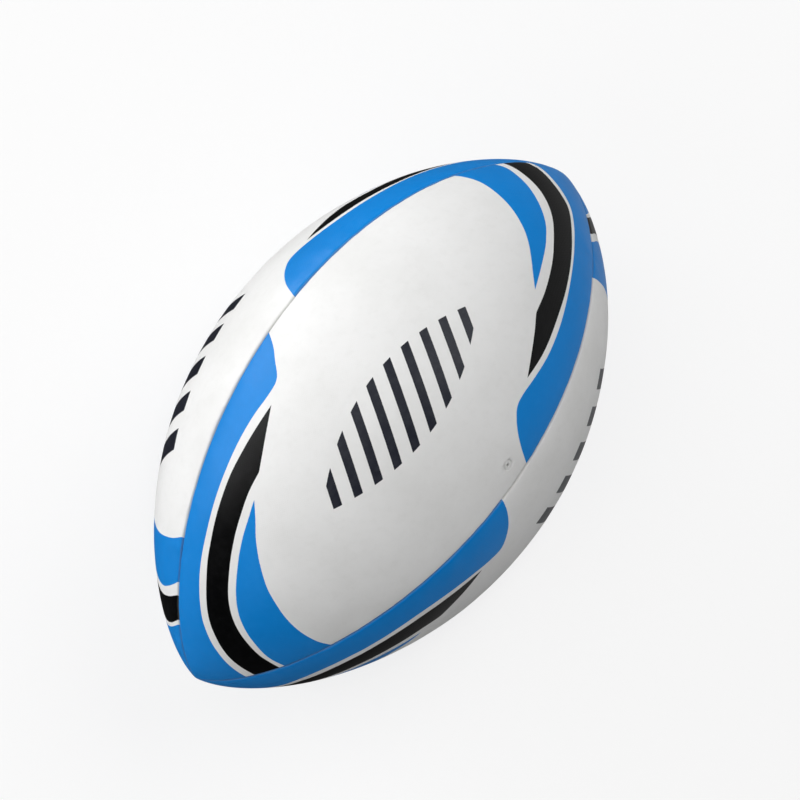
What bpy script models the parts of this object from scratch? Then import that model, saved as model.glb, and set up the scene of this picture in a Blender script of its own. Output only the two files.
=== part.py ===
"""Four-panel rugby ball, size 5, lying on its side.

Metres, +Z up. The origin is the centre of the ball and the long axis is +X.
The four laminated panels are named for where they face: top is +Z, front is
-Y, bottom is -Z and back is +Y. Each one is a rubber face over three cloth
plies. Their edges turn inwards at the four seams, where a waxed thread holds
them, and an inflated bladder with a needle valve fills the inside.
"""

import math

import bmesh
import bpy
from mathutils import Matrix, Vector

# ---- driving dimensions, in metres ----
BALL_LENGTH = 0.300
BALL_DIAMETER = 0.181
END_SHAPE = 0.685  # 0.5 is an ellipsoid, and more is a more pointed end

FACE_THICKNESS = 0.0011
PLY_THICKNESS = 0.0004
LAYER_GAP = 0.0002
BLADDER_DEPTH = 0.0041
BLADDER_THICKNESS = 0.0008
BLADDER_GROOVE = 0.0024  # how much deeper the bladder is under a seam

SEAM_GAP = 0.0003
SEAM_CORNER = 0.0016  # the turn of the rubber face into the seam
FLANGE_DEPTH = 0.0040
TIP_RADIUS = 0.0035  # each panel's tip stops this far from the long axis

THREAD_RADIUS = 0.0004
THREAD_SWAY = 0.00025
THREAD_CLEARANCE = 0.0003

VALVE_X = 0.0033  # along the ball, from its middle
VALVE_ANGLE = math.radians(38.4)  # round the ball, from +Z towards -Y
NOSE_RADIUS = 0.0022
NOSE_RECESS = 0.0003
FACE_HOLE_RADIUS = 0.0026
NECK_RADIUS = 0.0040
NECK_TOP = 0.0019
LAYER_HOLE_RADIUS = 0.0045
FLANGE_RADIUS = 0.0075
FLANGE_TOP = 0.0062
FLANGE_THICKNESS = 0.0010
TAIL_RADIUS = 0.0034
TAIL_END = 0.0150
NEEDLE_RADIUS = 0.0008
CHAMBER_RADIUS = 0.0018
CHAMBER_TOP = 0.0030
PLUG_RADIUS = 0.00155
PLUG_TOP = 0.0033
PLUG_LENGTH = 0.0108
SLIT_WIDTH = 0.0018
SLIT_THICKNESS = 0.0003
PATCH_RADIUS = 0.0084
PATCH_THICKNESS = 0.0005
PATCH_DEPTH = 0.0032

# ---- mesh resolution ----
ROWS = 18
ARC_COLUMNS = 8
TURN_STEPS = 20

HALF_LENGTH = BALL_LENGTH / 2
RADIUS = BALL_DIAMETER / 2
PANELS = {"top": 0.0, "front": 90.0, "bottom": 180.0, "back": 270.0}
PLIES = ("outer", "middle", "inner")


# ---- the ball's outline ----
def latitude_of_radius(radius):
    """The latitude at which the ball is this far from its long axis."""
    return math.acos((radius / RADIUS) ** (0.5 / END_SHAPE))


def outline(latitude, depth=0.0):
    """(x, radius) of the outline at this latitude, a depth below the surface."""
    c, s = max(math.cos(latitude), 0.0), math.sin(latitude)
    x, r = HALF_LENGTH * s, RADIUS * c ** (2 * END_SHAPE)
    nx = RADIUS * 2 * END_SHAPE * c ** (2 * END_SHAPE - 1) * s
    nr = HALF_LENGTH * c
    if c < 1e-6:
        nx, nr = math.copysign(1.0, s), 0.0
    size = math.hypot(nx, nr)
    return x - depth * nx / size, r - depth * nr / size


def row_latitude(row, end):
    """Rows are closer together towards the ends, where the outline bends most."""
    u = 2 * row / ROWS - 1
    return end * (1.25 * u - 0.25 * u**3)


END_LATITUDE = latitude_of_radius(TIP_RADIUS)


def direction(angle):
    """The unit vector this far round the long axis, from +Z towards -Y."""
    return Vector((0.0, -math.sin(angle), math.cos(angle)))


def column_share(column):
    """Where a column stands in half a panel, -1 to 1. One runs through the valve."""
    share = {0: 0.0, 1: 0.30, 2: 0.60, 3: 0.875, 4: 1.0}
    step = column - ARC_COLUMNS // 2
    return math.copysign(share[abs(step)], step)


def half_panel_angle(radius):
    """From a panel's middle to where its face starts to turn into the seam."""
    reach = SEAM_GAP / 2 + SEAM_CORNER
    return math.pi / 4 - math.asin(min(reach / radius, 0.65))


# ---- helpers ----
def clear_scene():
    for obj in list(bpy.data.objects):
        bpy.data.objects.remove(obj, do_unlink=True)
    for block in (bpy.data.meshes, bpy.data.curves, bpy.data.materials):
        for item in list(block):
            block.remove(item)


def collection(name, hidden=False):
    made = bpy.data.collections.new(name)
    made.hide_render = hidden
    bpy.context.scene.collection.children.link(made)
    return made


def material(name, colour, roughness, metallic=0.0):
    made = bpy.data.materials.new(name)
    made.use_nodes = True
    shader = made.node_tree.nodes["Principled BSDF"]
    shader.inputs["Base Color"].default_value = (*colour, 1.0)
    shader.inputs["Roughness"].default_value = roughness
    shader.inputs["Metallic"].default_value = metallic
    made.diffuse_color = (*colour, 1.0)
    return made


def add_object(name, data, where, surface=None):
    obj = bpy.data.objects.new(name, data)
    where.objects.link(obj)
    if surface:
        data.materials.append(surface)
    return obj


def turn_outwards(bm, outward):
    """Reverses the faces if the one that is farthest out faces inwards."""
    bm.normal_update()
    faces = list(bm.faces)
    farthest = max(faces, key=lambda face: face.calc_center_median().dot(outward))
    if farthest.normal.dot(outward) < 0:
        bmesh.ops.reverse_faces(bm, faces=faces)


def sheet(name, columns, rows, place, outward):
    """A grid whose points a function places, with its faces turned outwards."""
    bm = bmesh.new()
    bmesh.ops.create_grid(bm, x_segments=columns, y_segments=rows, size=1.0)
    for vertex in bm.verts:
        column = round((vertex.co.x + 1) / 2 * columns)
        row = round((vertex.co.y + 1) / 2 * rows)
        vertex.co = place(column, row)
    turn_outwards(bm, outward)
    mesh = bpy.data.meshes.new(name)
    bm.to_mesh(mesh)
    bm.free()
    return mesh


def thicken(obj, thickness):
    solidify = obj.modifiers.new("thickness", "SOLIDIFY")
    solidify.thickness = thickness
    solidify.offset = -1.0
    solidify.use_even_offset = False
    solidify.use_quality_normals = True
    solidify.use_rim = True
    return solidify


def cut(obj, cutter, operation="DIFFERENCE"):
    boolean = obj.modifiers.new(cutter.name, "BOOLEAN")
    boolean.operation = operation
    boolean.solver = "EXACT"
    boolean.object = cutter
    return boolean


def cylinder(name, radius, low, high, frame, where, segments=TURN_STEPS):
    """A closed cylinder along the frame's own Z, from low to high."""
    bm = bmesh.new()
    bmesh.ops.create_cone(
        bm,
        cap_ends=True,
        cap_tris=False,
        segments=segments,
        radius1=radius,
        radius2=radius,
        depth=high - low,
        matrix=Matrix.Translation((0, 0, (low + high) / 2)),
    )
    mesh = bpy.data.meshes.new(name)
    bm.to_mesh(mesh)
    bm.free()
    obj = add_object(name, mesh, where)
    obj.matrix_world = frame
    return obj


def turned(name, profile, frame, where, surface):
    """A closed profile of (radius, height) points, turned about the frame's Z."""
    mesh = bpy.data.meshes.new(name)
    count = len(profile)
    mesh.from_pydata(
        [(r, 0.0, z) for r, z in profile],
        [(i, (i + 1) % count) for i in range(count)],
        [],
    )
    obj = add_object(name, mesh, where, surface)
    obj.matrix_world = frame
    screw = obj.modifiers.new("turn", "SCREW")
    screw.axis = "Z"
    screw.angle = 2 * math.pi
    screw.steps = screw.render_steps = TURN_STEPS
    screw.use_merge_vertices = True
    screw.merge_threshold = 0.00001
    screw.use_normal_calculate = False
    screw.use_normal_flip = False
    return obj


def valve_frame():
    """The valve's own frame: its origin on the ball's surface, +Z outwards."""
    latitude = math.asin(VALVE_X / HALF_LENGTH)
    x, r = outline(latitude)
    inner_x, inner_r = outline(latitude, 0.01)
    radial = direction(VALVE_ANGLE)
    z = (Vector((x - inner_x, 0, 0)) + radial * (r - inner_r)).normalized()
    side = Vector((1, 0, 0)) - z * z.x
    side.normalize()
    frame = Matrix((side, z.cross(side), z)).transposed().to_4x4()
    frame.translation = Vector((x, 0, 0)) + radial * r
    return frame


# ---- the pieces ----
def face_panel(name, middle, where, surface):
    """A rubber face: one quarter of the ball, with both edges turned inwards."""
    columns = ARC_COLUMNS + 4

    def place(column, row):
        x, r = outline(row_latitude(row, END_LATITUDE))
        half = half_panel_angle(r)
        if 2 <= column <= columns - 2:
            return Vector((x, 0, 0)) + direction(
                middle + half * column_share(column - 2)
            ) * r
        side = -1 if column < 2 else 1
        seam = middle + side * math.pi / 4
        across = direction(seam - side * math.pi / 2)
        if column in (1, columns - 1):
            along = r * math.cos(math.pi / 4 - half) - min(0.0012, 0.2 * r)
        else:
            along = r - min(FLANGE_DEPTH, 0.5 * r)
        return Vector((x, 0, 0)) + direction(seam) * along + across * (SEAM_GAP / 2)

    mesh = sheet(name, columns, ROWS, place, direction(middle))
    obj = add_object(name, mesh, where, surface)
    thicken(obj, FACE_THICKNESS)
    return obj


def inner_layer(name, middle, depth, thickness, rows, columns, where, surface):
    """A curved layer under a face, over some of its rows and columns."""
    first_row, last_row = rows
    first_column, last_column = columns

    def place(column, row):
        latitude = row_latitude(row + first_row, END_LATITUDE)
        half = half_panel_angle(outline(latitude)[1])
        x, r = outline(latitude, depth)
        angle = middle + half * column_share(column + first_column)
        return Vector((x, 0, 0)) + direction(angle) * r

    mesh = sheet(
        name,
        last_column - first_column,
        last_row - first_row,
        place,
        direction(middle),
    )
    obj = add_object(name, mesh, where, surface)
    thicken(obj, thickness)
    return obj


def seam_thread(name, angle, where, surface):
    """The seam's thread, a cord that sways from side to side under the flanges."""
    curve = bpy.data.curves.new(name, "CURVE")
    curve.dimensions = "3D"
    curve.resolution_u = 1
    curve.bevel_depth = THREAD_RADIUS
    curve.bevel_resolution = 0
    curve.use_fill_caps = True
    across = direction(angle + math.pi / 2)
    drop = FLANGE_DEPTH + THREAD_CLEARANCE + THREAD_RADIUS
    points = []
    for step in range(4, 2 * (ROWS - 2) + 1):
        row, half = divmod(step, 2)
        ends = [outline(row_latitude(row + k, END_LATITUDE)) for k in (0, half)]
        x = (ends[0][0] + ends[1][0]) / 2
        r = (ends[0][1] + ends[1][1]) / 2 - drop
        sway = THREAD_SWAY if half else -THREAD_SWAY
        points.append(Vector((x, 0, 0)) + direction(angle) * r + across * sway)
    spline = curve.splines.new("POLY")
    spline.points.add(len(points) - 1)
    for point, place in zip(spline.points, points):
        point.co = (*place, 1.0)
    return add_object(name, curve, where, surface)


def bladder_body(name, where, surface):
    """A thin bag that follows the inner plies and dips under each seam."""
    columns = 4 * (ARC_COLUMNS + 2)
    bm = bmesh.new()
    bmesh.ops.create_uvsphere(bm, u_segments=columns, v_segments=ROWS, radius=1.0)
    end = math.pi / 2
    for vertex in bm.verts:
        latitude = math.asin(max(-1.0, min(1.0, vertex.co.z)))
        row = round((latitude / math.pi + 0.5) * ROWS)
        if row in (0, ROWS):
            x, _ = outline(math.copysign(end, vertex.co.z), BLADDER_DEPTH)
            vertex.co = Vector((x, 0, 0))
            continue
        column = round(math.atan2(vertex.co.y, vertex.co.x) / math.tau * columns)
        panel, step = divmod(column % columns, ARC_COLUMNS + 2)
        latitude = row_latitude(row, END_LATITUDE)
        r = outline(latitude)[1]
        half = half_panel_angle(r)
        middle = panel * math.pi / 2
        if step == ARC_COLUMNS + 1:
            angle = middle + math.pi / 4
            depth = BLADDER_DEPTH + BLADDER_GROOVE * min(1.0, r / 0.03)
        else:
            angle = middle + half * column_share(step)
            depth = BLADDER_DEPTH
        x, r = outline(latitude, depth)
        vertex.co = Vector((x, 0, 0)) + direction(angle) * max(r, 0.0006)
    turn_outwards(bm, Vector((0, 0, 1)))
    mesh = bpy.data.meshes.new(name)
    bm.to_mesh(mesh)
    bm.free()
    obj = add_object(name, mesh, where, surface)
    thicken(obj, BLADDER_THICKNESS)
    return obj


def main():
    clear_scene()
    ball = collection("rugby_ball")
    cutters = collection("cutters", hidden=True)

    white = (0.90, 0.90, 0.89)
    cloth = (0.80, 0.76, 0.66)
    valve = valve_frame()
    face_hole = cylinder(
        "face_hole_cutter", FACE_HOLE_RADIUS, -0.006, 0.004, valve, cutters
    )
    layer_hole = cylinder(
        "layer_hole_cutter", LAYER_HOLE_RADIUS, -0.012, 0.004, valve, cutters
    )
    patch_disc = cylinder(
        "patch_disc_cutter", PATCH_RADIUS, -0.010, 0.004, valve, cutters, 28
    )

    for side, degrees in PANELS.items():
        middle = math.radians(degrees)
        name = f"cover_panel_{side}"
        face = face_panel(name, middle, ball, material(name, white, 0.42))
        if side == "top":
            cut(face, face_hole)
        for index, place in enumerate(PLIES):
            name = f"ply_{place}_{side}"
            depth = FACE_THICKNESS + LAYER_GAP + index * (PLY_THICKNESS + LAYER_GAP)
            ply = inner_layer(
                name,
                middle,
                depth,
                PLY_THICKNESS,
                (1, ROWS - 1),
                (0, ARC_COLUMNS),
                ball,
                material(name, cloth, 0.9),
            )
            if side == "top":
                cut(ply, layer_hole)

    sides = list(PANELS)
    for index, side in enumerate(sides):
        name = f"seam_thread_{side}_{sides[(index + 1) % 4]}"
        angle = math.radians(PANELS[side]) + math.pi / 4
        seam_thread(name, angle, ball, material(name, (0.85, 0.83, 0.76), 0.7))

    bladder = bladder_body("bladder", ball, material("bladder", (0.07, 0.07, 0.07), 0.6))
    cut(bladder, layer_hole)

    patch = inner_layer(
        "valve_patch",
        0.0,
        PATCH_DEPTH,
        PATCH_THICKNESS,
        (ROWS // 2 - 1, ROWS // 2 + 1),
        (ARC_COLUMNS - 3, ARC_COLUMNS),
        ball,
        material("valve_patch", (0.16, 0.16, 0.16), 0.8),
    )
    cut(patch, patch_disc, "INTERSECT")
    cut(patch, layer_hole)

    profile = [
        (NEEDLE_RADIUS, -NOSE_RECESS),
        (NOSE_RADIUS, -NOSE_RECESS),
        (NOSE_RADIUS, -NECK_TOP),
        (NECK_RADIUS, -NECK_TOP),
        (NECK_RADIUS, -FLANGE_TOP),
        (FLANGE_RADIUS, -FLANGE_TOP),
        (FLANGE_RADIUS, -FLANGE_TOP - FLANGE_THICKNESS),
        (TAIL_RADIUS, -FLANGE_TOP - FLANGE_THICKNESS),
        (TAIL_RADIUS, -TAIL_END),
        (CHAMBER_RADIUS, -TAIL_END),
        (CHAMBER_RADIUS, -CHAMBER_TOP),
        (NEEDLE_RADIUS, -CHAMBER_TOP),
    ]
    turned(
        "valve_body",
        profile,
        valve,
        ball,
        material("valve_body", (0.62, 0.62, 0.60), 0.55),
    )

    bm = bmesh.new()
    bmesh.ops.create_cube(
        bm,
        size=1.0,
        matrix=Matrix.Translation((0, 0, -PLUG_TOP - PLUG_LENGTH / 2))
        @ Matrix.Diagonal((SLIT_WIDTH, SLIT_THICKNESS, PLUG_LENGTH + 0.004, 1.0)),
    )
    slit_mesh = bpy.data.meshes.new("plug_slit_cutter")
    bm.to_mesh(slit_mesh)
    bm.free()
    slit = add_object("plug_slit_cutter", slit_mesh, cutters)
    slit.matrix_world = valve
    plug = cylinder(
        "valve_plug", PLUG_RADIUS, -PLUG_TOP - PLUG_LENGTH, -PLUG_TOP, valve, ball
    )
    plug.data.materials.append(material("valve_plug", (0.05, 0.05, 0.05), 0.6))
    cut(plug, slit)

    for cutter in cutters.objects:
        cutter.hide_render = True
        cutter.display_type = "WIRE"


main()
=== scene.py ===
"""The looks of a four-panel rugby ball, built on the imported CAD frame.

Metres, in the CAD's own frame: the ball's centre is the origin, the long axis
is +X and the ball lies on its side on a pale floor. The four rubber faces are
rebuilt as fine meshes with rolled seam edges, puckers and a printed pattern
that the material draws from fields stored on the mesh. The script reads
nothing but the frame.
"""

import math

import bpy
import numpy as np
from mathutils import Matrix, Vector


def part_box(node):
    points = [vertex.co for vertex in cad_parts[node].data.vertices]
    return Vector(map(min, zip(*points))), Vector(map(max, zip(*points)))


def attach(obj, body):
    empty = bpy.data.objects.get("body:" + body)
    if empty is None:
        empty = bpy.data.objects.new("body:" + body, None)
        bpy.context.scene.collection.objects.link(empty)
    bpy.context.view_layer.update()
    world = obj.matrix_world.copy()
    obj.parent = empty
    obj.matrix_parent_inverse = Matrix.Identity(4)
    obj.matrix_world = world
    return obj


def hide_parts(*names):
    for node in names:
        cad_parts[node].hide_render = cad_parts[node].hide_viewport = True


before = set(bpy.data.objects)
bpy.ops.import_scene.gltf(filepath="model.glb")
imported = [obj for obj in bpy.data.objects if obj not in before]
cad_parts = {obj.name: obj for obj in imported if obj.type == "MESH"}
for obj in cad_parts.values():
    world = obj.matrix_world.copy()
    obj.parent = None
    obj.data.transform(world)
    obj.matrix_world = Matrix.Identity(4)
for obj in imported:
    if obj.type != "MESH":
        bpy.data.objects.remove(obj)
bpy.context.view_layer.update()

MM = 0.001
SIDES = ("top", "front", "bottom", "back")
RING = {"top": 0.0, "front": 0.5 * math.pi, "bottom": math.pi, "back": 1.5 * math.pi}

# ---- the ball's outline, the same as the CAD's, in millimetres ----
HALF_LENGTH = 150.0
RADIUS = float(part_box("cover_panel_top")[1].z) / MM
END_SHAPE = 0.685

FACE_THICKNESS = 1.1
SEAM_GAP = 0.05  # from an edge's wall to the seam's plane
CORNER = 1.3  # radius of the rolled edge
FLANGE = 3.5

VALVE_LATITUDE = math.asin(3.3 / HALF_LENGTH)
VALVE_ANGLE = math.radians(38.4)


def outline(latitude):
    """(x, radius, normal along x, normal outwards) of the outline, all arrays."""
    c = np.maximum(np.cos(latitude), 1e-5)
    s = np.sin(latitude)
    x, r = HALF_LENGTH * s, RADIUS * c ** (2 * END_SHAPE)
    nx = RADIUS * 2 * END_SHAPE * c ** (2 * END_SHAPE - 1) * s
    nr = HALF_LENGTH * c
    size = np.hypot(nx, nr)
    return x, r, nx / size, nr / size


def radius_at(x):
    share = np.clip(1 - (np.asarray(x, float) / HALF_LENGTH) ** 2, 1e-9, 1)
    return RADIUS * share**END_SHAPE


def on_ball(x, degrees):
    """Points of the smooth surface, for a panel whose middle faces +Z."""
    x = np.asarray(x, float)
    a = np.radians(np.asarray(degrees, float))
    r = radius_at(x)
    return np.stack([x, -r * np.sin(a), r * np.cos(a)], -1)


# ---- the printed pattern, as a few points a curve ----
# Each point is (millimetres along the ball, degrees round it) from the panel's
# middle. The two halves of a panel are a half turn of each other, near enough:
# UP is the half towards +X, and DOWN the other half, turned to lie over it.
UP = {
    "crescent_inner": [(30, 46), (52, 30), (74.5, 16.4), (90.5, 6.8), (98.4, -1.2), (104, -12.6), (106.9, -28), (105.8, -39.5), (104, -46), (100, -58)],
    "crescent_outer": [(30, 20), (55, 18.6), (74.5, 16.4), (91.4, 13.7), (100, 11.5), (107.9, 7.5), (115, -0.4), (120.6, -12), (123.8, -26), (124.8, -37), (124.2, -45), (121.5, -58)],
    "stripe_tail": [(20, 33.2), (39.6, 27.9), (58.5, 22.7), (65.7, 20.4)],
    "stripe_inner": [(65.7, 20.4), (78.2, 20), (92.1, 18.1), (102.4, 15), (111.2, 10.9), (117.3, 5.2), (121.9, -2.8), (124.9, -13), (127.2, -28), (128.2, -45), (127.6, -58)],
    "stripe_outer": [(20, 26.2), (39.6, 28.2), (55.2, 29.2), (73.2, 28.7), (90.4, 28), (106.7, 25.6), (118.8, 21.6), (125.4, 17.2), (129.7, 8.4), (133.5, -4.5), (136.4, -21), (137.6, -43), (137.6, -58)],
    "band": [(6, 52), (9.5, 45.4), (12.9, 39.4), (17, 34.9), (21.5, 31.8), (26, 29.9), (32, 29.6), (41, 30.3), (54, 31.2), (68, 31.1), (80, 30.3), (92, 29.2), (107.6, 27.2), (119, 24.1), (126.4, 19.6), (131.3, 10.8), (135.2, -3), (138.1, -20.5), (139.5, -44), (139.6, -58)],
}
DOWN = {
    "crescent_inner": [(30, 43), (58, 28.5), (74, 18.9), (80.6, 15.1), (87.2, 11.4), (94, 5.8), (100.3, -1.9), (104, -10.1), (106.2, -18), (107, -27), (106, -37), (103.4, -45), (99, -58)],
    "crescent_outer": [(30, 24), (56, 21.2), (74, 18.9), (81.5, 17.7), (90.2, 16.2), (99.2, 13.4), (109, 8.5), (115.6, 2.2), (119.7, -5.7), (122.3, -15.8), (123.9, -29.4), (123, -42), (121, -58)],
    "stripe_tail": [(20, 35.5), (37, 29.2), (49, 25.9), (63.4, 21.9)],
    "stripe_inner": [(63.4, 21.9), (72, 21.9), (80.2, 21.1), (91, 19.4), (101.6, 16.3), (111.8, 11.2), (118, 4.7), (121.9, -3.7), (124.3, -14.3), (125.5, -27), (124.8, -42), (124, -58)],
    "stripe_outer": [(20, 28.2), (37, 29.2), (46.8, 29.8), (59.3, 30.5), (71.5, 31), (86, 30.2), (98.5, 28.5), (108, 26.3), (119.2, 21), (126.2, 13.9), (131, 2.2), (133.6, -11.4), (134.3, -26), (133.8, -42), (133, -58)],
    "band": [(6, 50.5), (9.5, 45.3), (14.4, 40), (19.8, 36.2), (26.4, 32.2), (34, 31.8), (45, 32.8), (57.6, 33.4), (69.4, 33.5), (82.3, 33.1), (94.5, 32), (106.5, 30.6), (115, 28.2), (122.3, 24.1), (128.2, 17.8), (133.1, 5.8), (135.9, -10.8), (136.8, -27), (136.6, -42), (135.8, -58)],
}


# The side panels' print sits a little differently at the pole ends and where
# the band starts.
SIDE_UP = dict(
    UP,
    crescent_outer=UP["crescent_outer"][:6] + [(115.6, 0), (121.6, -10.5), (125.2, -20), (126.3, -29), (125, -36), (122.6, -42), (120.5, -47), (117, -58)],
    stripe_inner=UP["stripe_inner"][:4] + [(111.5, 10.9), (118, 5), (123.4, -3), (127, -12), (129.2, -23), (129, -32), (127.3, -39), (125, -45), (121, -58)],
    stripe_outer=UP["stripe_outer"][:6] + [(118.5, 21.4), (125.8, 15.8), (131.2, 6), (134.6, -7), (136.3, -21), (135.9, -31), (134.2, -39), (132, -46), (128, -58)],
    band=UP["band"][:13] + [(117.5, 25), (125, 20.2), (131.4, 12), (135.6, 0), (137.7, -13), (138.1, -25), (137.2, -34), (135.2, -41), (133.4, -46), (129, -58)],
)
SIDE_DOWN = dict(
    DOWN,
    crescent_outer=DOWN["crescent_outer"][:7] + [(116, 2), (121, -6), (124, -15.5), (125, -25), (124, -33.5), (122, -41), (119.6, -47), (117, -58)],
    stripe_inner=DOWN["stripe_inner"][:6] + [(118.4, 4.7), (123.3, -3.6), (126.6, -12.5), (128, -23), (127.5, -33.5), (125.9, -42), (124.3, -48), (121, -58)],
    stripe_outer=DOWN["stripe_outer"][:8] + [(119.2, 21.2), (126.8, 14.8), (132.6, 4), (135.7, -9), (136.7, -20), (136.2, -31), (134.8, -40), (133, -47), (130, -58)],
    band=[(6, 52), (9.2, 45.2), (11.7, 40), (16.2, 34.6), (23.5, 30), (31, 29.8), (41, 31), (54, 32.4)] + DOWN["band"][8:15] + [(134.6, 6.6), (137.4, -8), (138, -20), (137.4, -31), (136, -41), (134.6, -47), (131, -58)],
)


def smooth_curve(points, steps=18):
    """A Catmull-Rom curve through the points."""
    p = np.array(points, float)
    p = np.vstack([2 * p[0] - p[1], p, 2 * p[-1] - p[-2]])
    t = np.linspace(0, 1, steps, endpoint=False)[:, None]
    made = []
    for a, b, c, d in zip(p[:-3], p[1:-2], p[2:-1], p[3:]):
        made.append(
            0.5
            * (
                2 * b
                + (c - a) * t
                + (2 * a - 5 * b + 4 * c - d) * t**2
                + (3 * b - a - 3 * c + d) * t**3
            )
        )
    return np.vstack([*made, p[-2:-1]])


def straight_line(points, steps=30):
    """The points joined by straight lines on the printed sheet."""
    p = np.array(points, float)
    t = np.linspace(0, 1, steps, endpoint=False)[:, None]
    made = [a + (b - a) * t for a, b in zip(p[:-1], p[1:])]
    return np.vstack(made)


def side_of(points, normals, curve):
    """Signed distance in mm of each point to a curve on the ball: positive on the curve's right, seen from outside."""
    c = on_ball(curve[:, 0], curve[:, 1])
    start, step = c[:-1], c[1:] - c[:-1]
    length2 = (step**2).sum(1)
    best = np.full(len(points), 1e9)
    sign = np.zeros(len(points))
    for i in range(0, len(points), 4000):
        p = points[i : i + 4000]
        away = p[:, None, :] - start[None]
        t = np.clip((away * step[None]).sum(2) / length2, 0, 1)
        near = away - t[..., None] * step[None]
        d2 = (near**2).sum(2)
        k = d2.argmin(1)
        rows = np.arange(len(p))
        best[i : i + 4000] = np.sqrt(d2[rows, k])
        turn = np.cross(step[k], near[rows, k])
        sign[i : i + 4000] = np.sign((turn * normals[i : i + 4000]).sum(1))
    return -best * np.where(sign == 0, 1, sign)


# ---- one rubber face as a fine closed shell ----
ROWS, ACROSS = 300, 126
WALL_STEPS, CORNER_STEPS = 3, 6


def rows_of_latitude():
    end = math.acos((0.35 / RADIUS) ** (0.5 / END_SHAPE))
    u = np.linspace(-1, 1, ROWS + 1)
    return end * (1.18 * u - 0.18 * u**3)


def value_noise(x, y, seed):
    """Smooth noise of about unit size on a plane, the same every run."""
    rng = np.random.default_rng(seed)
    table = rng.uniform(-1, 1, (97, 97))
    xi, yi = np.floor(x).astype(int), np.floor(y).astype(int)
    fx, fy = x - xi, y - yi
    fx, fy = fx * fx * (3 - 2 * fx), fy * fy * (3 - 2 * fy)

    def at(i, j):
        return table[i % 97, j % 97]

    low = at(xi, yi) * (1 - fx) + at(xi + 1, yi) * fx
    high = at(xi, yi + 1) * (1 - fx) + at(xi + 1, yi + 1) * fx
    return low * (1 - fy) + high * fy


def face_grid(seed):
    """Points of the outer side of a face whose middle is at +Z, with what each one's place is on the printed sheet."""
    latitude = rows_of_latitude()
    x, r, nx, nr = outline(latitude)
    columns = []
    corner = np.minimum(CORNER, 0.22 * r)
    drop = np.minimum(FLANGE, 0.5 * r)
    quarter = math.pi / 4

    def seam_place(side, away, along):
        """A point at these distances from the seam's plane and along it, as (angle, radius)."""
        return side * (quarter - np.arctan2(away, along)), np.hypot(away, along)

    edge_angle = quarter - np.arcsin(np.clip((SEAM_GAP + corner) / r, 0, 0.7))
    top = r * np.cos(quarter - edge_angle)
    for step in range(WALL_STEPS):
        share = step / WALL_STEPS
        along = (r - drop) * (1 - share) + (top - corner) * share
        columns.append(("wall", SEAM_GAP + 0 * r, along))
    for step in range(CORNER_STEPS):
        turn = 0.5 * math.pi * step / CORNER_STEPS
        away = SEAM_GAP + corner * (1 - math.cos(turn))
        along = top - corner * (1 - math.sin(turn))
        columns.append(("corner", away, along))
    left = [seam_place(-1, away, along) for _, away, along in columns]
    right = [seam_place(1, away, along) for _, away, along in columns][::-1]
    u = np.linspace(-1, 1, ACROSS + 1)
    u = 1.12 * u - 0.12 * u**3
    middle = [(edge_angle * k, r) for k in u]
    angle = np.stack([a for a, _ in left + middle + right], 1)
    radius = np.stack([b for _, b in left + middle + right], 1)
    x = np.repeat(x[:, None], angle.shape[1], 1)
    nx = np.repeat(nx[:, None], angle.shape[1], 1)
    nr = np.repeat(nr[:, None], angle.shape[1], 1)
    full = np.repeat(r[:, None], angle.shape[1], 1)

    # Distance from the seam's plane, and which seam it is.
    seam = radius * np.sin(np.maximum(quarter - np.abs(angle), 0))
    s = full * angle
    ends = np.clip(full / 25.0, 0, 1)  # details fade towards the poles
    which = np.where(angle > 0, 1.0, 0.0)
    along = x + 0.15 * full
    dip = 0.55 * np.exp(-seam / 4.5) * ends
    pucker = value_noise(along / 3.6, which * 11.5 + 0.5, seed + 1)
    pucker += 0.6 * value_noise(along / 1.9, which * 17.5 + 0.5, seed + 2)
    drift = value_noise(along / 40, which * 5.5 + 0.5, seed + 3)
    pucker *= 0.16 * (1 + 0.8 * drift) * np.exp(-(((seam - 2.6) / 4.2) ** 2)) * ends
    pull = value_noise((x + 0.35 * seam) / 7.5 + 9, which * 7.5 + 0.5, seed + 6)
    pucker += 0.36 * pull * np.exp(-(((seam - 6) / 6.5) ** 2)) * ends * np.clip(0.5 + drift, 0, 1)
    # Inwards, the cloth under the face stops a pucker early.
    pucker = np.where(pucker < 0, -0.11 * np.tanh(-pucker / 0.11), pucker)
    swell = 0.16 * value_noise(x / 26 + 40, s / 26 + 40, seed + 4)
    swell += 0.07 * value_noise(x / 11 + 40, s / 11 + 40, seed + 5)
    swell *= np.clip(seam / 10, 0, 1) * ends
    lift = -dip + pucker + swell
    px = x + lift * nx
    pr = radius + lift * nr
    points = np.stack([px, -pr * np.sin(angle), pr * np.cos(angle)], -1)
    return {"points": points, "x": x, "angle": angle, "s": s, "seam": seam, "r": full}


def grid_normals(points):
    du = np.gradient(points, axis=0)
    dv = np.gradient(points, axis=1)
    n = np.cross(dv, du)
    n /= np.maximum(np.linalg.norm(n, axis=2, keepdims=True), 1e-12)
    middle = n[n.shape[0] // 2, n.shape[1] // 2]
    return n if middle[2] > 0 else -n


def signed_volume(mesh):
    mesh.calc_loop_triangles()
    co = np.zeros(len(mesh.vertices) * 3, np.float32)
    mesh.vertices.foreach_get("co", co)
    tri = np.zeros(len(mesh.loop_triangles) * 3, np.int32)
    mesh.loop_triangles.foreach_get("vertices", tri)
    p = co.reshape(-1, 3).astype(float)[tri.reshape(-1, 3)]
    return float(np.einsum("ij,ij->i", p[:, 0], np.cross(p[:, 1], p[:, 2])).sum() / 6)


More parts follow.
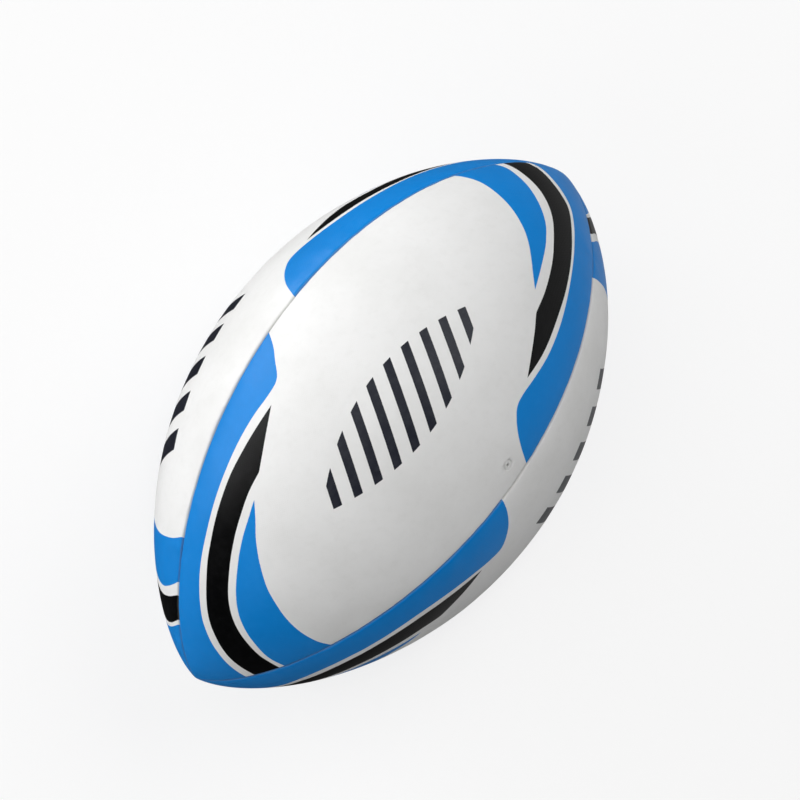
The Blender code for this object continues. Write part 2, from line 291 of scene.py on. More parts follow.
def print_fields(x, degrees, up, down):
    """The print's signed distances in mm, on the smooth ball."""
    turned = x < 0
    fx, fa = np.where(turned, -x, x), np.where(turned, -degrees, degrees)
    points = on_ball(fx, fa)
    slope = (radius_at(fx + 0.05) - radius_at(fx - 0.05)) / 0.1
    a = np.radians(fa)
    normals = np.stack([-slope, -np.sin(a), np.cos(a)], -1)
    normals /= np.linalg.norm(normals, axis=1, keepdims=True)
    made = {}
    for name in ("crescent_inner", "crescent_outer", "stripe_inner", "stripe_outer", "band"):
        value = np.full(len(x), -20.0)
        for half, where in ((up, ~turned), (down, turned)):
            curve = smooth_curve(half[name])
            if name == "stripe_inner":
                curve = np.vstack([straight_line(half["stripe_tail"]), curve])
            value[where] = side_of(points[where], normals[where], curve)
        made[name] = value
    made["band"] = np.where(fx < 4, -20.0, made["band"])
    made["crescent_inner"] = np.where(fx < 60, -20.0, made["crescent_inner"])
    made["stripe_inner"] = np.where(fx < 30, -20.0, made["stripe_inner"])
    return made


def valve_point():
    x, r, nx, nr = (float(v) for v in outline(np.array(VALVE_LATITUDE)))
    radial = Vector((0, -math.sin(VALVE_ANGLE), math.cos(VALVE_ANGLE)))
    z = (Vector((nx, 0, 0)) + radial * nr).normalized()
    side = (Vector((1, 0, 0)) - z * z.x).normalized()
    turn = Matrix((side, z.cross(side), z)).transposed().to_4x4()
    turn.translation = (Vector((x, 0, 0)) + radial * r) * MM
    return turn


VALVE = valve_point()


# ---- materials ----
class Nodes:
    """Short names for building a node tree."""

    def __init__(self, name):
        self.material = bpy.data.materials.new(name)
        self.material.use_nodes = True
        self.tree = self.material.node_tree
        self.tree.nodes.clear()
        self.out = self.tree.nodes.new("ShaderNodeOutputMaterial")
        self.shader = self.tree.nodes.new("ShaderNodeBsdfPrincipled")
        self.join(self.shader.outputs["BSDF"], self.out.inputs["Surface"])

    def join(self, a, b):
        self.tree.links.new(a, b)

    def put(self, socket, value):
        if isinstance(value, bpy.types.NodeSocket):
            self.join(value, socket)
        else:
            socket.default_value = value

    def node(self, kind, **settings):
        made = self.tree.nodes.new(kind)
        for key, value in settings.items():
            setattr(made, key, value)
        return made

    def math(self, operation, a, b=None, c=None, clamp=False):
        made = self.node("ShaderNodeMath", operation=operation, use_clamp=clamp)
        for i, value in enumerate((a, b, c)):
            if value is not None:
                self.put(made.inputs[i], value)
        return made.outputs[0]

    def vmath(self, operation, a, b=None, scale=None):
        made = self.node("ShaderNodeVectorMath", operation=operation)
        self.put(made.inputs[0], a)
        if b is not None:
            self.put(made.inputs[1], b)
        if scale is not None:
            self.put(made.inputs["Scale"], scale)
        return made.outputs[0]

    def step(self, value, low, high, to_low=0.0, to_high=1.0):
        made = self.node("ShaderNodeMapRange", interpolation_type="SMOOTHSTEP")
        for i, v in enumerate((value, low, high, to_low, to_high)):
            self.put(made.inputs[i], v)
        return made.outputs[0]

    def mix(self, factor, a, b, mode="MIX"):
        made = self.node("ShaderNodeMix", data_type="RGBA", blend_type=mode)
        self.put(made.inputs[0], factor)
        self.put(made.inputs[6], a)
        self.put(made.inputs[7], b)
        return made.outputs[2]

    def blend(self, factor, a, b):
        made = self.node("ShaderNodeMix", data_type="FLOAT")
        self.put(made.inputs[0], factor)
        self.put(made.inputs[2], a)
        self.put(made.inputs[3], b)
        return made.outputs[0]

    def attribute(self, name):
        made = self.node("ShaderNodeAttribute", attribute_name=name)
        split = self.node("ShaderNodeSeparateXYZ")
        self.join(made.outputs["Vector"], split.inputs[0])
        return split.outputs[0], split.outputs[1], split.outputs[2]

    def coordinates(self):
        return self.node("ShaderNodeTexCoord").outputs["Object"]

    def noise(self, vector, scale, detail=3.0, roughness=0.5, distortion=0.0):
        made = self.node("ShaderNodeTexNoise")
        self.put(made.inputs["Vector"], vector)
        self.put(made.inputs["Scale"], scale)
        self.put(made.inputs["Detail"], detail)
        self.put(made.inputs["Roughness"], roughness)
        self.put(made.inputs["Distortion"], distortion)
        return made.outputs[0]

    def bump(self, height, distance, strength=1.0, normal=None):
        made = self.node("ShaderNodeBump")
        self.put(made.inputs["Height"], height)
        self.put(made.inputs["Strength"], strength)
        self.put(made.inputs["Distance"], distance)
        if normal is not None:
            self.join(normal, made.inputs["Normal"])
        return made.outputs[0]


WHITE = (0.86, 0.86, 0.855, 1)
BLUE = (0.0012, 0.235, 0.70, 1)
BLACK = (0.0012, 0.0012, 0.0014, 1)
NAVY = (0.011, 0.0125, 0.022, 1)


def printed_rubber(name, motif):
    n = Nodes(name)
    u, v, seam = n.attribute("sheet_place")
    inner, outer, stripe_in = n.attribute("print_a")
    stripe_out, band, valve = n.attribute("print_b")
    place = n.coordinates()

    def inside(value, soft=0.09):
        return n.step(value, -soft, soft)

    def both(a, b):
        return n.math("MULTIPLY", a, b)

    def outside(a):
        return n.math("SUBTRACT", 1.0, a)

    # Ink edges wander by a few hundredths of a millimetre, as screen print does.
    wobble = n.math("MULTIPLY_ADD", n.noise(place, 900.0, 2.0), 0.16, -0.08)

    def ink(value):
        return inside(n.math("ADD", value, wobble))

    crescent = both(ink(inner), outside(ink(outer)))
    stripe = both(ink(stripe_in), outside(ink(stripe_out)))
    blue = n.math("MAXIMUM", crescent, ink(band))

    if motif == "leaf":
        # Slanted bars inside a leaf-shaped outline.
        uu = n.math("ADD", u, 6.0)
        vv = n.math("ADD", v, -3.0)
        share = n.math("POWER", n.math("ABSOLUTE", n.math("MULTIPLY", uu, 1 / 57.0)), 2.0)
        width = n.math("MULTIPLY", n.math("SUBTRACT", 1.0, share), 17.0)
        leaf = n.math("SUBTRACT", width, n.math("ABSOLUTE", vv))
        slant = n.math("MULTIPLY_ADD", vv, 0.7, uu)
        cell = n.math("FRACT", n.math("MULTIPLY_ADD", slant, 1 / 12.0, 10.5))
        bar = n.math("MULTIPLY", n.math("SUBTRACT", 0.205, n.math("ABSOLUTE", n.math("SUBTRACT", cell, 0.5))), 9.8)
        mark = both(ink(leaf), ink(bar))
    else:
        # Two rows of five slanted bars, one a half turn of the other.
        turn = n.math("SIGN", v)
        w = n.math("MULTIPLY", n.math("MULTIPLY", u, turn), -1.0)
        h = n.math("ABSOLUTE", v)
        tall = n.math("SUBTRACT", 12.0, n.math("ABSOLUTE", n.math("SUBTRACT", h, 20.0)))
        slant = n.math("MULTIPLY_ADD", n.math("ADD", h, -20.0), 0.34, n.math("ADD", w, 3.5))
        wide = n.math("SUBTRACT", 42.5, n.math("ABSOLUTE", n.math("SUBTRACT", slant, 42.5)))
        cell = n.math("FRACT", n.math("MULTIPLY", slant, 1 / 17.0))
        bar = n.math("MULTIPLY", n.math("SUBTRACT", 0.27, n.math("ABSOLUTE", n.math("SUBTRACT", cell, 0.5))), 16.0)
        mark = both(both(ink(tall), ink(wide)), ink(bar))

    # Rubber that has been handled: faint grey clouds. The colour is also darker in the seam creases, as painted shade.
    clouds = n.noise(place, 22.0, 5.0, 0.55)
    fine = n.noise(place, 260.0, 3.0, 0.6)
    white = n.mix(n.step(clouds, 0.35, 0.75), WHITE, (0.80, 0.80, 0.79, 1))
    white = n.mix(n.math("MULTIPLY", n.step(fine, 0.45, 0.8), 0.16), white, (0.70, 0.70, 0.68, 1))
    azure = n.mix(n.step(clouds, 0.3, 0.8), BLUE, (0.002, 0.215, 0.64, 1))
    azure = n.mix(n.math("MULTIPLY", n.step(fine, 0.4, 0.8), 0.25), azure, (0.008, 0.265, 0.75, 1))
    dark = n.mix(n.step(fine, 0.35, 0.8), BLACK, (0.0035, 0.0035, 0.004, 1))
    colour = n.mix(blue, white, azure)
    colour = n.mix(stripe, colour, dark)
    colour = n.mix(mark, colour, n.mix(n.step(fine, 0.35, 0.8), NAVY, (0.024, 0.026, 0.036, 1)))
    # Painted shade: the colour darkens towards the bottom of each seam crease.
    painted_seam_shade = n.step(seam, 0.15, 1.0, 1.0, 0.0)
    colour = n.mix(n.math("MULTIPLY", painted_seam_shade, 0.35), colour, (0.20, 0.19, 0.17, 1))
    n.put(n.shader.inputs["Base Color"], colour)

    # A fine moulded grain, flattened a little under the ink.
    inked = n.math("MAXIMUM", n.math("MAXIMUM", blue, stripe), mark)
    pitch = 2 * math.pi / 1.25
    gu = n.math("COSINE", n.math("MULTIPLY", u, pitch))
    gv = n.math("COSINE", n.math("MULTIPLY", v, pitch))
    grain = n.step(n.math("MULTIPLY", gu, gv), 0.0, 0.9)
    height = n.math("MULTIPLY_ADD", fine, 0.8, grain)
    height = n.math("MULTIPLY_ADD", inked, 0.35, height)
    n.put(n.shader.inputs["Normal"], n.bump(height, 0.00004, 0.55))
    rough = n.step(fine, 0.3, 0.75, 0.38, 0.50)
    rough = n.blend(n.math("MULTIPLY", inked, 0.6), rough, 0.31)
    n.put(n.shader.inputs["Roughness"], rough)
    n.shader.inputs["Specular IOR Level"].default_value = 0.2
    return n.material


def shell_from(name, outer, inner, fields=(), wrap=False, hole=None):
    """A closed mesh between two grids of the same size, in mm, with a round hole (centre, axis, radius) through both where one is given."""
    rows, columns = outer.shape[:2]
    index = np.arange(rows * columns).reshape(rows, columns)
    if wrap:
        index = np.concatenate([index, index[:, :1]], 1)
    quads = np.stack([index[:-1, :-1], index[:-1, 1:], index[1:, 1:], index[1:, :-1]], -1).reshape(-1, 4)
    a, b = outer.reshape(-1, 3).copy(), inner.reshape(-1, 3).copy()
    if hole is not None:
        centre, axis, radius = (np.array(v, float) for v in hole)
        away = a - centre
        flat = away - (away @ axis)[:, None] * axis
        far = np.linalg.norm(flat, axis=1)
        near = (far < radius) & (np.abs(away @ axis) < 20)
        keep = near[quads].sum(1) < 2
        used = set(quads[~keep].ravel()) & set(quads[keep].ravel())
        quads = quads[keep]
        for i in used:
            a[i] += flat[i] / far[i] * (radius - far[i])
            inward = b[i] - centre
            level = inward - (inward @ axis) * axis
            b[i] += flat[i] / far[i] * radius - level
    ends = np.concatenate([quads[:, [0, 1]], quads[:, [1, 2]], quads[:, [2, 3]], quads[:, [3, 0]]])
    key = np.sort(ends, 1)
    _, first, count = np.unique(key, axis=0, return_index=True, return_counts=True)
    rim = ends[first[count == 1]]
    total = len(a)
    faces = np.concatenate([quads, quads[:, ::-1] + total, np.stack([rim[:, 1], rim[:, 0], rim[:, 0] + total, rim[:, 1] + total], -1)])
    co = np.concatenate([a, b]) * MM
    used, packed = np.unique(faces, return_inverse=True)
    co, faces = co[used], packed.reshape(-1, 4)
    mesh = bpy.data.meshes.new(name)
    mesh.vertices.add(len(co))
    mesh.vertices.foreach_set("co", co.astype(np.float32).ravel())
    mesh.loops.add(faces.size)
    mesh.loops.foreach_set("vertex_index", faces.astype(np.int32).ravel())
    mesh.polygons.add(len(faces))
    mesh.polygons.foreach_set("loop_start", np.arange(0, faces.size, 4, dtype=np.int32))
    mesh.polygons.foreach_set("loop_total", np.full(len(faces), 4, np.int32))
    mesh.update(calc_edges=True)
    if signed_volume(mesh) < 0:
        mesh.flip_normals()
    mesh.polygons.foreach_set("use_smooth", np.ones(len(faces), bool))
    for field, values in fields:
        made = mesh.attributes.new(field, "FLOAT_VECTOR", "POINT")
        both = np.concatenate([values, values])[used].astype(np.float32)
        made.data.foreach_set("vector", both.ravel())
    return mesh


def add_piece(name, mesh, material, node, turn=None):
    if turn is not None:
        mesh.transform(turn)
    obj = bpy.data.objects.new(name, mesh)
    bpy.context.scene.collection.objects.link(obj)
    mesh.materials.append(material)
    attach(obj, "root")
    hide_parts(node)
    return obj


VALVE_CENTRE = np.array(VALVE.translation) / MM
VALVE_AXIS = np.array(VALVE.to_3x3().col[2])
print_cache = {}


def face_piece(side, seed):
    grid = face_grid(seed)
    outer = grid["points"]
    normals = grid_normals(outer)
    thick = np.minimum(FACE_THICKNESS, 0.35 * grid["r"])[..., None]
    halves = (UP, DOWN) if side in ("top", "bottom") else (SIDE_UP, SIDE_DOWN)
    if id(halves[0]) not in print_cache:
        print_cache[id(halves[0])] = print_fields(grid["x"].ravel(), np.degrees(grid["angle"].ravel()), *halves)
    ink = print_cache[id(halves[0])]
    smooth = on_ball(grid["x"], np.degrees(grid["angle"])).reshape(-1, 3)
    valve = np.linalg.norm(smooth - VALVE_CENTRE, axis=1)
    if side != "top":
        valve = valve * 0 + 50.0
    fields = (
        ("sheet_place", np.stack([grid["x"].ravel(), grid["s"].ravel(), grid["seam"].ravel()], -1)),
        ("print_a", np.stack([ink["crescent_inner"], ink["crescent_outer"], ink["stripe_inner"]], -1)),
        ("print_b", np.stack([ink["stripe_outer"], ink["band"], valve], -1)),
    )
    hole = (VALVE_CENTRE, VALVE_AXIS, 2.32) if side == "top" else None
    mesh = shell_from(f"face_{side}", outer, outer - normals * thick, fields, hole=hole)
    motif = "leaf" if side in ("top", "bottom") else "bars"
    return add_piece(
        f"face_{side}",
        mesh,
        printed_rubber(f"printed_rubber_{side}", motif),
        f"cover_panel_{side}",
        Matrix.Rotation(RING[side], 4, "X"),
    )


faces = {side: face_piece(side, 100 * i + 7) for i, side in enumerate(SIDES)}


# ---- what is under the rubber faces ----
def woven(name, colour, dark, pitch, rough, stain=(0.55, 0.50, 0.40, 1)):
    """Plain-weave cloth, laid along the sheet's own directions, in mm."""
    n = Nodes(name)
    u, v, _ = n.attribute("sheet_place")
    place = n.coordinates()
    turn = math.pi / pitch
    a, b = n.math("SINE", n.math("MULTIPLY", u, turn)), n.math("SINE", n.math("MULTIPLY", v, turn))
    over = n.math("MULTIPLY", n.math("COSINE", n.math("MULTIPLY", u, turn)), n.math("COSINE", n.math("MULTIPLY", v, turn)))
    height = n.math("ADD", n.math("MULTIPLY", n.math("ABSOLUTE", a), n.math("ABSOLUTE", b)), n.math("MULTIPLY", over, 0.4))
    fuzz = n.noise(place, 1400.0, 3.0)
    cloud = n.noise(place, 35.0, 4.0)
    # The weave's low places between the yarns take the dark colour: painted shade in the hollows of the weave.
    tone = n.mix(n.step(height, 0.1, 1.1), dark, colour)
    tone = n.mix(n.math("MULTIPLY", n.step(cloud, 0.45, 0.8), 0.35), tone, stain)
    tone = n.mix(n.math("MULTIPLY", n.step(fuzz, 0.4, 0.8), 0.2), tone, (0.9, 0.87, 0.8, 1))
    n.put(n.shader.inputs["Base Color"], tone)
    n.put(n.shader.inputs["Roughness"], n.step(fuzz, 0.2, 0.8, rough - 0.08, rough + 0.05))
    n.shader.inputs["Specular IOR Level"].default_value = 0.2
    n.put(n.shader.inputs["Normal"], n.bump(n.math("MULTIPLY_ADD", fuzz, 0.3, height), 0.00008, 0.8))
    return n.material


def ply_piece(side, layer, index, seed):
    """One cloth layer between the flanges, following the face above it."""
    rows, across = 190, 76
    end = math.acos((3.5 / RADIUS) ** (0.5 / END_SHAPE))
    u = np.linspace(-0.955, 0.955, rows + 1)
    x, r, nx, nr = outline(end * (1.2 * u - 0.2 * u**3))
    half = math.pi / 4 - np.arcsin(np.minimum(1.9 / r, 0.65))
    angle = half[:, None] * np.linspace(-1, 1, across + 1)[None]
    seam = r[:, None] * np.sin(math.pi / 4 - np.abs(angle))
    full = np.repeat(r[:, None], across + 1, 1)
    ends = np.clip(full / 25.0, 0, 1)
    s = full * angle
    xx = np.repeat(x[:, None], across + 1, 1)
    swell = 0.16 * value_noise(xx / 26 + 40, s / 26 + 40, seed + 4)
    swell += 0.07 * value_noise(xx / 11 + 40, s / 11 + 40, seed + 5)
    lift = (-0.55 * np.exp(-seam / 4.5) + swell * np.clip(seam / 10, 0, 1)) * ends
    fray = 0.03 * value_noise(xx / 1.3, s / 1.3, seed + 50 + index)

    def at(depth):
        h = lift + fray - depth
        px, pr = xx + h * nx[:, None], full + h * nr[:, None]
        return np.stack([px, -pr * np.sin(angle), pr * np.cos(angle)], -1)

    depth = FACE_THICKNESS + 0.22 + index * 0.6
    hole = (VALVE_CENTRE, VALVE_AXIS, 4.5) if side == "top" else None
    # Each layer's weave is turned a little against the one above it.
    lean = math.radians((0, 45, 90)[index] + 4)
    fields = (
        (
            "sheet_place",
            np.stack(
                [
                    (xx * math.cos(lean) + s * math.sin(lean)).ravel(),
                    (s * math.cos(lean) - xx * math.sin(lean)).ravel(),
                    seam.ravel(),
                ],
                -1,
            ),
        ),
    )
    name = f"cloth_{layer}_{side}"
    mesh = shell_from(name, at(depth), at(depth + 0.38), fields, hole=hole)
    return add_piece(name, mesh, CLOTH[layer], f"ply_{layer}_{side}", Matrix.Rotation(RING[side], 4, "X"))


# The second colour of each cloth is its painted shade in the weave's hollows.
CLOTH = {
    "outer": woven("cotton_outer", (0.80, 0.76, 0.66, 1), (0.50, 0.46, 0.37, 1), 0.9, 0.9),
    "middle": woven("cotton_middle", (0.76, 0.72, 0.62, 1), (0.46, 0.42, 0.34, 1), 0.9, 0.9),
    "inner": woven("cotton_inner", (0.72, 0.69, 0.60, 1), (0.43, 0.40, 0.33, 1), 1.1, 0.92),
}
for number, side in enumerate(SIDES):
    for index, layer in enumerate(("outer", "middle", "inner")):
        ply_piece(side, layer, index, 100 * number + 7)


def rubber(name, colour, other, rough, grain):
    """Plain moulded rubber with a bloom of talc or dust in its colour."""
    n = Nodes(name)
    place = n.coordinates()
    cloud = n.noise(place, 30.0, 5.0, 0.6)
    fine = n.noise(place, 900.0, 3.0, 0.6)
    tone = n.mix(n.step(cloud, 0.35, 0.75), colour, other)
    tone = n.mix(n.math("MULTIPLY", n.step(fine, 0.5, 0.8), 0.25), tone, (0.4, 0.4, 0.38, 1))
    n.put(n.shader.inputs["Base Color"], tone)
    n.put(n.shader.inputs["Roughness"], n.step(cloud, 0.3, 0.8, rough - 0.1, rough + 0.1))
    n.shader.inputs["Specular IOR Level"].default_value = 0.4
    n.put(n.shader.inputs["Normal"], n.bump(fine, grain, 0.6))
    return n.material


def bladder_piece():
    """The inflated bag, with a fold running under each seam."""
    rows, around = 200, 264
    end = math.acos((0.9 / RADIUS) ** (0.5 / END_SHAPE))
    u = np.linspace(-1, 1, rows + 1)
    x, r, nx, nr = outline(end * (1.2 * u - 0.2 * u**3))
    angle = np.linspace(-math.pi, math.pi, around, endpoint=False)[None]
    off = np.abs((angle + math.pi / 2 + math.pi / 4) % (math.pi / 2) - math.pi / 4)
    seam = r[:, None] * np.sin(np.abs(math.pi / 4 - off))
    groove = 2.4 * np.exp(-((seam / 2.6) ** 2)) * np.clip(r / 30, 0, 1)[:, None]
    groove = groove + 0.12 * np.exp(-(((seam - 7) / 3.0) ** 2)) * np.clip(r / 30, 0, 1)[:, None]

    def at(depth):
        h = -(depth + groove)
        px = x[:, None] + h * nx[:, None]
        pr = np.maximum(r[:, None] + h * nr[:, None], 0.25 + 0 * angle)
        return np.stack([px, -pr * np.sin(angle), pr * np.cos(angle)], -1)

    mesh = shell_from("bladder_bag", at(4.1), at(4.9), wrap=True, hole=(VALVE_CENTRE, VALVE_AXIS, 4.5))
    return add_piece(
        "bladder_bag",
        mesh,
        rubber("butyl_rubber", (0.035, 0.035, 0.036, 1), (0.085, 0.083, 0.08, 1), 0.6, 0.00004),
        "bladder",
    )


bladder_piece()


def lathe(name, profile, steps=72):
    """A closed profile of (radius, height) points in mm, turned about the valve's axis."""
    count = len(profile)
    points = []
    for k in range(steps):
        a = 2 * math.pi * k / steps
        points += [VALVE @ Vector((r * math.cos(a) * MM, r * math.sin(a) * MM, z * MM)) for r, z in profile]
    faces = []
    for k in range(steps):
        m = (k + 1) % steps
        for i in range(count):
            j = (i + 1) % count
            faces.append((k * count + i, k * count + j, m * count + j, m * count + i))
    mesh = bpy.data.meshes.new(name)
    mesh.from_pydata([tuple(p) for p in points], [], faces)
    mesh.update()
    if signed_volume(mesh) < 0:
        mesh.flip_normals()
    for polygon in mesh.polygons:
        polygon.use_smooth = True
    mesh.set_sharp_from_angle(angle=math.radians(50))
    return mesh


def rounded(profile, amount, steps=4):
    """The closed profile with each corner turned by an arc."""
    made = []
    count = len(profile)
    for i, (r, z) in enumerate(profile):
        here = Vector((r, z))
        before, after = Vector(profile[i - 1]) - here, Vector(profile[(i + 1) % count]) - here
        reach = min(amount, 0.4 * before.length, 0.4 * after.length)
        start, end = here + before.normalized() * reach, here + after.normalized() * reach
        for k in range(steps + 1):
            t = k / steps
            made.append(tuple(start * (1 - t) ** 2 + here * (2 * t * (1 - t)) + end * t**2))
    return made


valve_profile = [(0.7, -0.12), (2.2, -0.12), (2.2, -1.9), (4.0, -1.9), (4.0, -6.2), (7.5, -6.2), (7.5, -7.2), (3.4, -7.2), (3.4, -15.0), (1.8, -15.0), (1.8, -3.0), (0.7, -3.0)]
add_piece(
    "valve_stem",
    lathe("valve_stem", rounded(valve_profile, 0.25)),
    rubber("valve_rubber", (0.76, 0.76, 0.75, 1), (0.68, 0.68, 0.66, 1), 0.5, 0.00003),
    "valve_body",
)


def plug_mesh():
    """A round plug with the needle's slit right through it."""
    steps = 64
    top, bottom = -3.3, -14.1
    rings = []
    for radius, z in ((1.55, bottom + 0.15), (1.55, top - 0.15), (1.4, top)):
        rings.append([(radius * math.cos(2 * math.pi * k / steps), radius * math.sin(2 * math.pi * k / steps), z) for k in range(steps)])
    slit = []
    for k in range(steps):
        a = 2 * math.pi * k / steps
        slit.append((0.9 * math.cos(a), 0.13 * math.copysign(abs(math.sin(a)) ** 0.4, math.sin(a))))
    rings.append([(px, py, top) for px, py in slit])
    rings.append([(px, py, bottom) for px, py in slit])
    rings.append([(1.4 * math.cos(2 * math.pi * k / steps), 1.4 * math.sin(2 * math.pi * k / steps), bottom) for k in range(steps)])
    points = [tuple(VALVE @ (Vector(p) * MM)) for ring in rings for p in ring]
    faces = []
    for i in range(len(rings)):
        j = (i + 1) % len(rings)
        for k in range(steps):
            m = (k + 1) % steps
            faces.append((i * steps + k, i * steps + m, j * steps + m, j * steps + k))
    mesh = bpy.data.meshes.new("valve_core")
    mesh.from_pydata(points, [], faces)
    mesh.update()
    if signed_volume(mesh) < 0:
        mesh.flip_normals()
    for polygon in mesh.polygons:
        polygon.use_smooth = True
    mesh.set_sharp_from_angle(angle=math.radians(40))
    return mesh


add_piece(
    "valve_core",
    plug_mesh(),
    rubber("core_rubber", (0.02, 0.02, 0.02, 1), (0.05, 0.05, 0.05, 1), 0.55, 0.00002),
    "valve_plug",
)


def patch_piece():
    """A round of rubbered cloth over the bladder, with the valve through it."""
    rings, steps = 14, 96
    outer, inner, place = [], [], []
    for i in range(rings + 1):
        distance = 4.5 + (8.4 - 4.5) * i / rings
        for k in range(steps):
            a = 2 * math.pi * k / steps
            p = VALVE @ Vector((distance * math.cos(a) * MM, distance * math.sin(a) * MM, 0))
            x, turn = p.x / MM, math.atan2(-p.y, p.z)
            latitude = np.array(math.asin(x / HALF_LENGTH))
            cx, cr, nx, nr = (float(v) for v in outline(latitude))
            thin = 0.5 if i < rings else 0.3
            for depth, side in ((3.25 + (0.5 - thin) / 2, outer), (3.25 + (0.5 + thin) / 2, inner)):
                rr = cr - depth * nr
                side.append((cx - depth * nx, -rr * math.sin(turn), rr * math.cos(turn)))
            place.append((distance * math.cos(a), distance * math.sin(a), 9.0))
    shape = (rings + 1, steps, 3)
    mesh = shell_from(
        "valve_patch_round",
        np.array(outer).reshape(shape),
        np.array(inner).reshape(shape),
        (("sheet_place", np.array(place)),),
        wrap=True,
    )
    # The second colour is the painted shade in the weave's hollows.
    cloth = woven("patch_cloth", (0.15, 0.15, 0.15, 1), (0.06, 0.06, 0.06, 1), 0.7, 0.8, (0.10, 0.10, 0.10, 1))
    return add_piece("valve_patch_round", mesh, cloth, "valve_patch")


patch_piece()


def thread_material():
    n = Nodes("waxed_thread")
    place = n.coordinates()
    u, v, _ = n.attribute("sheet_place")
    twist = n.math("SINE", n.math("ADD", n.math("MULTIPLY", u, 2 * math.pi / 1.4), n.math("MULTIPLY", v, 2.0)))
    fuzz = n.noise(place, 2200.0, 3.0)
    tone = n.mix(n.step(twist, -0.9, 0.6), (0.50, 0.46, 0.36, 1), (0.84, 0.81, 0.72, 1))
    tone = n.mix(n.math("MULTIPLY", n.step(fuzz, 0.45, 0.8), 0.3), tone, (0.93, 0.91, 0.84, 1))
    n.put(n.shader.inputs["Base Color"], tone)
    n.put(n.shader.inputs["Roughness"], n.step(fuzz, 0.3, 0.8, 0.45, 0.65))
    n.put(n.shader.inputs["Normal"], n.bump(fuzz, 0.00003, 0.6))
    return n.material


THREAD = thread_material()


def thread_piece(index):
    """Two plies of waxed thread twisted together, under the flanges of a seam."""
    first, second = SIDES[index], SIDES[(index + 1) % 4]
    steps, sides = 900, 14
    end = math.acos((3.5 / RADIUS) ** (0.5 / END_SHAPE))
    t = np.linspace(-1, 1, steps)
    x, r, nx, nr = outline(end * 0.90 * t)
    base = r - 4.72
    sway = 0.25 * np.sin(2 * math.pi * x / 10.0)
    angle = 0.25 * math.pi + RING[first]
    out = np.array([0.0, -math.sin(angle), math.cos(angle)])
    across = np.array([0.0, -math.cos(angle), -math.sin(angle)])
    path = np.stack([x, 0 * x, 0 * x], -1) + base[:, None] * out + sway[:, None] * across
    along = np.gradient(path, axis=0)
    along /= np.linalg.norm(along, axis=1, keepdims=True)
    up = out - (along @ out)[:, None] * along
    up /= np.linalg.norm(up, axis=1, keepdims=True)
    side = np.cross(along, up)
    length = np.concatenate([[0], np.cumsum(np.linalg.norm(np.diff(path, axis=0), axis=1))])
    a = np.linspace(0, 2 * math.pi, sides, endpoint=False)
    turn = 2 * math.pi * length / 2.8
    radius = 0.36 * (0.86 + 0.14 * np.cos(2 * (a[None] - turn[:, None])))
    radius[0] *= 0.3
    radius[-1] *= 0.3
    points = path[:, None] + radius[..., None] * (np.cos(a)[None, :, None] * up[:, None] + np.sin(a)[None, :, None] * side[:, None])
    count = steps * sides
    grid = np.arange(count).reshape(steps, sides)
    grid = np.concatenate([grid, grid[:, :1]], 1)
    quads = np.stack([grid[:-1, :-1], grid[:-1, 1:], grid[1:, 1:], grid[1:, :-1]], -1).reshape(-1, 4).tolist()
    quads.append(list(range(sides))[::-1])
    quads.append(list(range(count - sides, count)))
    mesh = bpy.data.meshes.new("thread")
    mesh.from_pydata((points.reshape(-1, 3) * MM).tolist(), [], quads)
    mesh.update()
    if signed_volume(mesh) < 0:
        mesh.flip_normals()
    mesh.polygons.foreach_set("use_smooth", np.ones(len(mesh.polygons), bool))
    field = mesh.attributes.new("sheet_place", "FLOAT_VECTOR", "POINT")
    values = np.stack([np.repeat(length, sides), np.tile(a, steps), np.zeros(count)], -1)
    field.data.foreach_set("vector", values.astype(np.float32).ravel())
    return add_piece(f"thread_{first}_{second}", mesh, THREAD, f"seam_thread_{first}_{second}")


for index in range(4):
    thread_piece(index)


# ---- stage, light and camera ----
def aim(obj, target):
    obj.rotation_mode = "QUATERNION"
    obj.rotation_quaternion = (Vector(target) - obj.location).to_track_quat("-Z", "Y")


def floor():
    bpy.ops.mesh.primitive_plane_add(size=12.0, location=(0, 0, -RADIUS * MM))
    obj = bpy.context.object
    obj.name = "floor"
    n = Nodes("pale_floor")
    n.shader.inputs["Base Color"].default_value = (0.80, 0.80, 0.80, 1)
    n.shader.inputs["Roughness"].default_value = 0.9
    n.shader.inputs["Specular IOR Level"].default_value = 0.1
    glow = n.node("ShaderNodeEmission")
    glow.inputs["Color"].default_value = (1, 1, 1, 1)
    # The floor's own glow is weaker near the ball, so that its shadow shows.
    far = n.node("ShaderNodeVectorMath", operation="LENGTH")
    n.put(far.inputs[0], n.coordinates())
    away = far.outputs["Value"]
    # An ambient occlusion term dims the glow where the ball is close above the floor: a painted contact shadow under
    # the ball.
    close = n.node("ShaderNodeAmbientOcclusion", samples=8)
    close.inputs["Distance"].default_value = 0.05
    painted_contact_shadow = n.step(close.outputs["AO"], 0.0, 1.0, 0.55, 1.0)
    n.put(glow.inputs["Strength"], n.math("MULTIPLY", painted_contact_shadow, n.step(away, 0.35, 1.5, 1.05, 0.985)))
    path = n.node("ShaderNodeLightPath")
    mix = n.node("ShaderNodeMixShader")
    n.put(mix.inputs[0], n.math("MULTIPLY", path.outputs["Is Camera Ray"], n.step(away, 0.35, 1.5, 0.75, 0.985)))
    n.join(n.shader.outputs[0], mix.inputs[1])
    n.join(glow.outputs[0], mix.inputs[2])
    n.join(mix.outputs[0], n.out.inputs["Surface"])
    obj.data.materials.append(n.material)
    obj.visible_glossy = False


def area(name, direction, distance, size, power, colour=(1, 1, 1)):
    data = bpy.data.lights.new(name, "AREA")
    data.shape = "DISK"
    data.size = size
    data.energy = power
    data.color = colour
    obj = bpy.data.objects.new(name, data)
    bpy.context.scene.collection.objects.link(obj)
    obj.location = Vector(direction).normalized() * distance
    aim(obj, (0, 0, 0))
    obj.visible_camera = False
    return obj


floor()
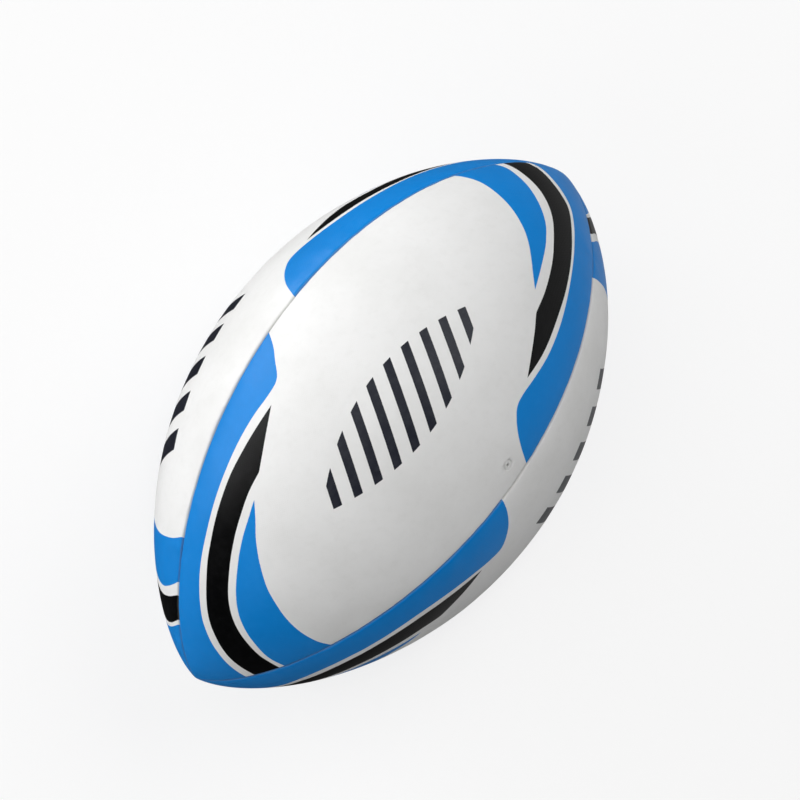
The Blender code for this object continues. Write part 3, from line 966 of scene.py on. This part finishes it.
# Soft round lights 2 m from the ball: a low key from its back side, and fills
# from over it and from in front.
area("key", (0.139, 0.984, 0.115), 2.0, 1.4, 22.6)
area("fill_right", (0.561, -0.112, 0.820), 2.0, 1.4, 16.2)
area("fill_front", (0.55, -0.80, 0.20), 2.0, 1.4, 2.3).visible_glossy = False
area("fill_over", (-0.097, 0.416, 0.904), 2.0, 1.4, 8.4)
area("fill_left", (-0.813, 0.110, 0.571), 2.0, 1.4, 8.4).visible_glossy = False
area("fill_back_left", (-0.604, 0.782, 0.154), 2.0, 1.4, 6.4).visible_glossy = False
area("gleam_left", (-0.42, 0.89, 0.20), 2.0, 0.8, 6.5).visible_diffuse = False
area("fill_top", (-0.179, -0.001, 0.984), 2.0, 1.4, 3.1)
area("fill_back", (-0.20, 0.83, 0.52), 2.0, 0.9, 5.0)

world = bpy.data.worlds.new("studio")
bpy.context.scene.world = world
world.use_nodes = True
sky = world.node_tree
sky_seen = sky.nodes.new("ShaderNodeMapRange")
sky_path = sky.nodes.new("ShaderNodeLightPath")
sky.links.new(sky_path.outputs["Is Camera Ray"], sky_seen.inputs[0])
sky_seen.inputs[3].default_value = 0.03
sky_seen.inputs[4].default_value = 0.98
# A faint sheen comes from the front right, in glossy reflections only.
sky_place = sky.nodes.new("ShaderNodeTexCoord")
sky_side = sky.nodes.new("ShaderNodeVectorMath")
sky_side.operation = "DOT_PRODUCT"
sky_side.inputs[1].default_value = (0.64, -0.71, -0.29)
sky.links.new(sky_place.outputs["Generated"], sky_side.inputs[0])
sky_sheen = sky.nodes.new("ShaderNodeMapRange")
sky_sheen.interpolation_type = "SMOOTHSTEP"
sky_sheen.inputs[1].default_value = 0.30
sky_sheen.inputs[2].default_value = 0.88
sky_sheen.inputs[4].default_value = 0.42
sky.links.new(sky_side.outputs["Value"], sky_sheen.inputs[0])
sky_total = sky.nodes.new("ShaderNodeMath")
sky_total.operation = "MULTIPLY_ADD"
sky.links.new(sky_sheen.outputs[0], sky_total.inputs[0])
sky.links.new(sky_path.outputs["Is Glossy Ray"], sky_total.inputs[1])
sky.links.new(sky_seen.outputs[0], sky_total.inputs[2])
sky.nodes["Background"].inputs[0].default_value = (1, 1, 1, 1)
sky.links.new(sky_total.outputs[0], sky.nodes["Background"].inputs[1])

camera_data = bpy.data.cameras.new("camera")
camera_data.sensor_width = 36.0
camera_data.lens = 80.4
camera = bpy.data.objects.new("camera", camera_data)
bpy.context.scene.collection.objects.link(camera)
# The camera looks down on the ball from 0.85 m, turned so that the long axis
# runs to the upper right, with that end tilted 10 degrees away.
right = Vector((0.57769, -0.80961, 0.10396))
back = Vector((-0.17871, -0.00118, 0.98390))
up = back.cross(right).normalized()
right = up.cross(back).normalized()
turn = Matrix((right, up, back.normalized())).transposed().to_4x4()
turn.translation = Vector((-0.14077, -0.00215, 0.83778))
camera.matrix_world = turn
bpy.context.scene.camera = camera
bpy.context.scene.view_settings.view_transform = "Standard"
bpy.context.scene.view_settings.look = "None"
